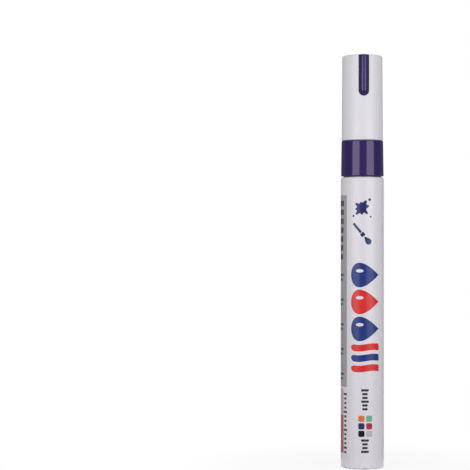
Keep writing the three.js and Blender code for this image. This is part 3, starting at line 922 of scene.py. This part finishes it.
def block_outline(width, height, rounding):
    """A rectangle with rounded corners, and points no further apart than the step."""
    step = 0.45
    x, y = width / 2, height / 2
    corners = rounded([[-x, -y, rounding], [x, -y, rounding], [x, y, rounding], [-x, y, rounding]])
    closed = np.concatenate([corners, corners[:1]])
    run = np.concatenate([[0], np.cumsum(np.linalg.norm(np.diff(closed, axis=0), axis=1))])
    places = np.union1d(run, np.arange(0, run[-1], step))[:-1]
    return stacked(*[np.interp(places, run, closed[:, k]) for k in (0, 1)])


def swung(outline, degrees):
    """The outline turned about its own origin."""
    a = math.radians(degrees)
    return outline @ np.array([[math.cos(a), math.sin(a)], [-math.sin(a), math.cos(a)]])


def film(thickness, outline, place, eye=(0.0, 0.0), hole=(0.0, 0.0)):
    """A film of ink as a closed skin. Its top runs from a small ellipse, or a point, to the outline, and
    its underside runs back just below the lacquer. A flat point (u, z) at height h lies on the barrel at
    the angle u over the radius, the radius plus h out."""
    step = 0.4
    sink = 0.05
    spokes = outline - eye
    rings = int(np.ceil(np.abs(spokes).max() / step)) + 1
    heading = np.arctan2(spokes[:, 1], spokes[:, 0])
    inner = eye + stacked(hole[0] * np.cos(heading), hole[1] * np.sin(heading))
    share = np.linspace(0, 1, rings + 1)[:, None, None]
    flat = inner + (outline - inner) * share + place
    flat = np.concatenate([flat, flat[::-1]])
    height = np.repeat([thickness, -sink], rings + 1)[:, None]
    points = around_pen(BARREL_RADIUS + height, flat[..., 0] / BARREL_RADIUS, flat[..., 1])
    return surface(points, row_loop=True, column_loop=True)


def at_angle(degrees):
    """Distance round the barrel to an angle."""
    return math.radians(degrees) * BARREL_RADIUS


BLOCK_MIDDLE = at_angle(4.5)  # the large print's middle line
BLOCK_REACH = 10.4  # its width round the barrel
PANEL_BACK = -130  # the angle at which the panel and the strips end on the pen's back
STRIP_EDGE = -64.5  # the angle of the strips' near edge
ON_PANEL = 1.8  # height, in films, of a print that lies on the panel


def drop(z):
    """A large drop with a white highlight left in it."""
    length, width = BLOCK_REACH, 8.5
    eye = np.array([-0.2 * length, 0.17 * width])
    highlight = (0.13 * length, 0.07 * width)
    return drop_outline(length, width), (BLOCK_MIDDLE, z), eye, highlight


def stroke(z):
    """A brush stroke round the barrel."""
    return stroke_outline(BLOCK_REACH, 2.3, 0.25), (BLOCK_MIDDLE, z)


def block(width, height, rounding, degrees, z):
    """A rectangle at an angle round the barrel and a height."""
    return block_outline(width, height, rounding), (at_angle(degrees), z)


def splash_and_brush():
    """A splash with three stray drops above a small drawing of a paint brush."""
    u = at_angle(-5.5)
    tilt = -50
    along = swung(np.array([1.0, 0.0]), tilt)
    brush = np.array([u, 81.5])
    return [
        (splash_outline(3.0), (u, 90.3)),
        (dot_outline(0.5), (u + 2.7, 93.2)),
        (dot_outline(0.38), (u - 3.0, 87.6)),
        (dot_outline(0.3), (u + 3.1, 87.3)),
        (swung(block_outline(4.2, 0.85, 0.4), tilt), brush - along * 2.55),
        (swung(block_outline(1.3, 1.5, 0.15), tilt), brush + along * 0.4),
        (swung(drop_outline(3.4, 2.1), tilt + 180), brush + along * 2.95),
    ]


def small_marks():
    """Rows of short dashes above and below the colour chips. Each third one is longer."""
    heights = (27.4, 26.1, 24.8, 23.5, 22.2, 20.9, 10.1, 8.8, 7.5, 6.2)
    return [block(1.9 if k % 3 else 2.7, 0.78, 0.25, 2.5, z) for k, z in enumerate(heights)]


def panel(edge, low, high, rounding):
    """A block of ink on the barrel's side, between the panel's back and an angle, and two heights."""
    left, right = at_angle(PANEL_BACK), at_angle(edge)
    middle = ((left + right) / 2, (low + high) / 2)
    return [(block_outline(right - left, high - low, rounding), middle)]


def side_marks():
    """On the panel: a gauge of seven bars near its top, then pairs of dashes evenly down it. Beside the
    strips: a column of short dashes, each fourth one longer."""
    middle = -81
    gauge = [block(5.0 - 0.2 * k, 1.9, 0.3, middle, 92.0 - 3.1 * k) for k in range(7)]
    pairs = []
    for k in range(5):
        z = 66.3 - 8.6 * k
        pairs += [block(4.4, 0.8, 0.25, middle, z + 0.8), block(3.4, 0.8, 0.25, middle, z - 0.8)]
    column = [block(1.2 if k % 4 else 1.7, 0.75, 0.2, -56, 25.8 - 1.55 * k) for k in range(14)]
    return gauge + pairs + column


CHIPS = {
    "orange": (0.72, 0.17, 0.05),
    "green": (0.13, 0.42, 0.28),
    "navy": (0.028, 0.04, 0.12),
    "crimson": (0.42, 0.02, 0.045),
    "black": (0.012, 0.012, 0.015),
    "mauve": (0.52, 0.42, 0.50),
}


def chip(index):
    """One of the six colour chips, in three rows of two."""
    row, column = divmod(index, 2)
    edge = 2.15
    place = (at_angle(3.5) + (column - 0.5) * 2.75, 17.6 - row * 2.6)
    return [(block_outline(edge, edge, 0.5), place)]


# The operators


class PenMakeBarrel(Operator):
    """Make the lacquered can"""

    bl_idname = "pen.make_barrel"
    bl_label = "Barrel"

    def execute(self, context):
        settings = context.scene.pen_barrel
        shape = barrel_shape(settings)
        make_piece(context, "barrel_can", shape, "barrel", lacquer(settings), ["barrel"])
        return {"FINISHED"}


class PenMakeCollar(Operator):
    """Make the coloured collar"""

    bl_idname = "pen.make_collar"
    bl_label = "Collar"

    def execute(self, context):
        settings = context.scene.pen_collar
        shape = collar_shape(settings)
        make_piece(context, "collar_band", shape, "barrel", dyed_plastic(settings), ["collar"])
        return {"FINISHED"}


class PenMakeCap(Operator):
    """Make the cap's body, coloured plug, rib and inner cap"""

    bl_idname = "pen.make_cap"
    bl_label = "Cap"

    def execute(self, context):
        settings = context.scene.pen_cap
        white = cap_plastic(settings)
        dyed = bpy.data.materials.get("Dyed plastic") or dyed_plastic(context.scene.pen_collar)
        natural = bpy.data.materials.get("Natural plastic") or natural_plastic(context.scene.pen_valve)
        body = cap_body_shape(settings)
        cap = make_piece(context, "cap_body", body, "cap", white, ["cap_shell"])
        soften_edges(cap, 0.12, 50)
        make_piece(context, "cap_plug", plug_shape(), "cap", dyed, ["colour_plug"])
        make_piece(context, "cap_rib", rib_shape(settings), "cap", dyed)
        liner = inner_cap_shape()
        make_piece(context, "cap_liner", liner, "cap", natural, ["inner_cap"])
        return {"FINISHED"}


class PenMakeTip(Operator):
    """Make the nozzle and the nib"""

    bl_idname = "pen.make_tip"
    bl_label = "Nozzle and nib"

    def execute(self, context):
        settings = context.scene.pen_tip
        shape = nozzle_shape(settings)
        white = nozzle_plastic(settings)
        make_piece(context, "nozzle_body", shape, "barrel", white, ["nozzle"])
        make_piece(context, "nib_rod", nib_shape(settings), "nib", nib_fibre(settings), ["nib"])
        return {"FINISHED"}


class PenMakeValve(Operator):
    """Make the spring and finish the valve's cage, rod and seals"""

    bl_idname = "pen.make_valve"
    bl_label = "Valve"

    def execute(self, context):
        settings = context.scene.pen_valve
        natural = bpy.data.materials.get("Natural plastic") or natural_plastic(settings)
        rubber = soft_rubber(settings)
        kept = {"valve_cage": natural, "valve_rod": natural, "valve_seat": rubber, "barrel_gasket": rubber}
        for name, material in kept.items():
            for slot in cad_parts[name].material_slots:
                slot.material = material
        shape = spring_shape(settings)
        steel = spring_steel()
        replaced = ["valve_spring"]
        spring = make_piece(context, "spring_coil", shape, "barrel", steel, replaced)
        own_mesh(spring)
        return {"FINISHED"}


class PenMakeBall(Operator):
    """Make the mixing ball"""

    bl_idname = "pen.make_ball"
    bl_label = "Mixing ball"

    def execute(self, context):
        material = ball_steel(context.scene.pen_collar.plastic)
        make_piece(context, "ball", ball_shape(), "ball", material, ["mixing_ball"])
        return {"FINISHED"}


class PenPrintBarrel(Operator):
    """Print the drawings, marks, chips and panel on the barrel"""

    bl_idname = "pen.print_barrel"
    bl_label = "Print"

    def execute(self, context):
        settings = context.scene.pen_print
        thickness = settings.film / MM
        # Each print's marks and its colour
        prints = {
            "print_blue": ([drop(67.2), drop(48.6), stroke(38.6)], settings.blue),
            "print_red": ([drop(57.9), stroke(42.2), stroke(35.0)], settings.red),
            "print_navy": (splash_and_brush(), settings.navy),
            "print_marks": (small_marks(), settings.dark),
            "print_panel": (panel(-50, 28.3, 94.8, 0.5), settings.panel),
            "print_side_marks": (side_marks(), settings.slate),
            "print_pale_strip": (panel(STRIP_EDGE, 18.9, 27.6, 0.3), settings.pale),
            "print_deep_strip": (panel(STRIP_EDGE, 5.3, 18.6, 0.3), settings.deep),
        }
        prints |= {f"chip_{name}": (chip(index), tone) for index, (name, tone) in enumerate(CHIPS.items())}
        for name, (marks, tone) in prints.items():
            height = thickness * ON_PANEL if name == "print_side_marks" else thickness
            shape = joined([film(height, *mark) for mark in marks])
            make_piece(context, name, shape, "barrel", ink(name.replace("_", " "), tone))
        return {"FINISHED"}


# The stage


def softbox(context, name, azimuths, distance, heights, radiance, mirrored):
    """An upright softbox, square to the pen, that spans two azimuths and two heights. Its power is the
    radiance times pi times its area. It shows in reflections only where it is said to be mirrored."""
    left, right = np.radians(azimuths)
    low, high = heights
    light = bpy.data.lights.new(name, "AREA")
    light.shape = "RECTANGLE"
    light.size = 2 * distance * math.tan((right - left) / 2)
    light.size_y = high - low
    light.energy = radiance * math.pi * light.size * light.size_y
    lamp = bpy.data.objects.new(name, light)
    middle = (left + right) / 2
    lamp.location = around_pen(distance, middle, (low + high) / 2)
    lamp.rotation_euler = (math.pi / 2, 0, middle)
    lamp.visible_camera = False
    lamp.visible_glossy = mirrored
    context.scene.collection.objects.link(lamp)


def open_mesh(context, name, points, column_loop, material):
    """A stage surface from points in metres on a grid."""
    cells = grid_cells(*points.shape[:2], False, column_loop)
    made = add_mesh(context, name, points.reshape(-1, 3), cells.tolist(), material)
    return made


def bare_tree(owner):
    """The node tree of a new material or world, emptied."""
    owner.use_nodes = True
    owner.node_tree.nodes.clear()
    return owner.node_tree


def black_cloth_and_glow():
    """Cloth, dark except for a faint glow past the two sides, by the angle round the pen from the viewer: a
    painted reflection of dim side light, as the glow shows only in reflections.
    """
    material = bpy.data.materials.new("Black cloth with faint glow")
    tree = bare_tree(material)
    place = node(tree, "SeparateXYZ", {0: object_point(tree)})
    sideways = maths(tree, "ABSOLUTE", place[0])
    away = maths(tree, "MULTIPLY", place[1], -1.0)
    turn = maths(tree, "ARCTAN2", sideways, away)
    # Painted reflection: the cloth glows faintly where it lies beyond the pen's sides.
    pale = ramped(tree, turn, math.radians(92), math.radians(122), 0.003, 0.13)
    cloth = node(tree, "Emission", {"Color": WHITE, "Strength": pale})[0]
    node(tree, "OutputMaterial", {"Surface": cloth})
    return material


def dark_surround(context):
    """Black cloth on the floor and round the stage, open behind the pen, that only reflections see."""
    hem, reach = 0.02, 0.62  # distances from the pen
    lift, top = 0.0005, 0.5  # heights
    azimuth = np.radians(np.linspace(-165, 165, 111))
    rows = [around_pen(r, azimuth, z) for r, z in ((hem, lift), (reach, lift), (reach, top))]
    screen = open_mesh(context, "dark_surround", np.stack(rows), False, black_cloth_and_glow())
    for rays in ("camera", "diffuse", "transmission", "shadow"):
        setattr(screen, f"visible_{rays}", False)


def seen_directly(tree):
    """One for camera, glossy and transmission rays, nothing for the others."""
    path = node(tree, "LightPath")
    seen = maths(tree, "MAXIMUM", path["Is Camera Ray"], path["Is Glossy Ray"])
    return maths(tree, "MAXIMUM", seen, path["Is Transmission Ray"])


def floor_material(settings):
    """Pale matt floor. Where it is looked at it turns evenly white away from the pen, and near the pen it
    keeps part of its own shade, which holds the shadow."""
    material = bpy.data.materials.new("Floor")
    tree = bare_tree(material)
    tone = placed(tree, "Colour drift", Colour=(*settings.floor, 1.0), Drift=0.01)
    matt = node(tree, "BsdfDiffuse", {"Color": tone})[0]
    white = node(tree, "Emission", {"Color": WHITE, "Strength": 1.0})[0]
    distance = node(tree, "VectorMath", {0: object_point(tree)}, operation="LENGTH")["Value"]
    share = ramped(tree, distance, 0.01, 0.075, 0.86, 1.0)
    share = maths(tree, "MULTIPLY", share, seen_directly(tree))
    shade = node(tree, "MixShader", {0: share, 1: matt, 2: white})[0]
    node(tree, "OutputMaterial", {"Surface": shade})
    return material


def white_world(context, sky):
    """White where it is seen or mirrored, and a softer grey where it lights matt surfaces."""
    world = bpy.data.worlds.new("Studio")
    context.scene.world = world
    tree = bare_tree(world)
    strength = ramped(tree, seen_directly(tree), 0.0, 1.0, sky, 1.0)
    background = node(tree, "Background", {"Color": WHITE, "Strength": strength})[0]
    node(tree, "OutputWorld", {"Surface": background})


def set_camera(context):
    """A long lens that looks level past the pen, which stands right of the picture's middle."""
    lens = bpy.data.cameras.new("camera")
    lens.lens = 120.7
    lens.clip_start = 0.01
    lens.clip_end = 50.0
    camera = bpy.data.objects.new("camera", lens)
    camera.location = (-0.0445, -0.551, 0.0810)
    camera.rotation_euler = (math.pi / 2, 0, 0)
    context.scene.collection.objects.link(camera)
    context.scene.camera = camera


class PenSetStage(Operator):
    """Set the floor, the lights, the white world and the camera"""

    bl_idname = "pen.set_stage"
    bl_label = "Stage"

    def execute(self, context):
        settings = context.scene.pen_stage
        a = full_turn(96)
        rings = np.array([0.0, 0.1, 0.5, 6.0])[:, None, None] * stacked(np.sin(a), np.cos(a), 0)
        open_mesh(context, "floor", rings, True, floor_material(settings))
        front, behind = 0.45, 0.6
        low, high, top = 0.0, 0.2, 0.5
        for name, azimuths, radiance in (
            ("left", (-59, -20), settings.left_light),
            ("right", (19, 60), settings.right_light),
        ):
            softbox(context, f"{name}_softbox", azimuths, front, (low, high), radiance, True)
            softbox(context, f"{name}_top_softbox", azimuths, front, (high, top), radiance, False)
        softbox(context, "back_softbox", (150, 210), behind, (low, top), settings.back_light, False)
        dark_surround(context)
        white_world(context, settings.sky)
        set_camera(context)
        context.scene.view_settings.view_transform = "Standard"
        return {"FINISHED"}


class PenPanel(Panel):
    """Lists the pen's settings and the steps that build it"""

    bl_idname = "VIEW3D_PT_pen"
    bl_label = "Paint marker"
    bl_space_type = "VIEW_3D"
    bl_region_type = "UI"
    bl_category = "Paint marker"

    def draw(self, context):
        for operator, name, group in STEPS:
            box = self.layout.box()
            box.operator(operator.bl_idname)
            for setting in group.__annotations__ if group else ():
                box.prop(getattr(context.scene, name), setting)


# Each step with its settings' name and group, in the order in which they run
STEPS = [
    (PenMakeBarrel, "pen_barrel", PenBarrelSettings),
    (PenMakeCollar, "pen_collar", PenCollarSettings),
    (PenMakeValve, "pen_valve", PenValveSettings),
    (PenMakeTip, "pen_tip", PenTipSettings),
    (PenMakeBall, None, None),
    (PenMakeCap, "pen_cap", PenCapSettings),
    (PenPrintBarrel, "pen_print", PenPrintSettings),
    (PenSetStage, "pen_stage", PenStageSettings),
]


def register():
    for operator, name, group in STEPS:
        if group:
            bpy.utils.register_class(group)
            setattr(bpy.types.Scene, name, PointerProperty(type=group))
        bpy.utils.register_class(operator)
    bpy.utils.register_class(PenPanel)


def unregister():
    bpy.utils.unregister_class(PenPanel)
    for operator, name, group in reversed(STEPS):
        bpy.utils.unregister_class(operator)
        if group:
            delattr(bpy.types.Scene, name)
            bpy.utils.unregister_class(group)


def main():
    register()
    bpy.ops.pen.make_barrel()
    bpy.ops.pen.make_collar()
    bpy.ops.pen.make_valve()
    bpy.ops.pen.make_tip()
    bpy.ops.pen.make_ball()
    bpy.ops.pen.make_cap()
    bpy.ops.pen.print_barrel()
    bpy.ops.pen.set_stage()


if __name__ == "__main__":
    main()
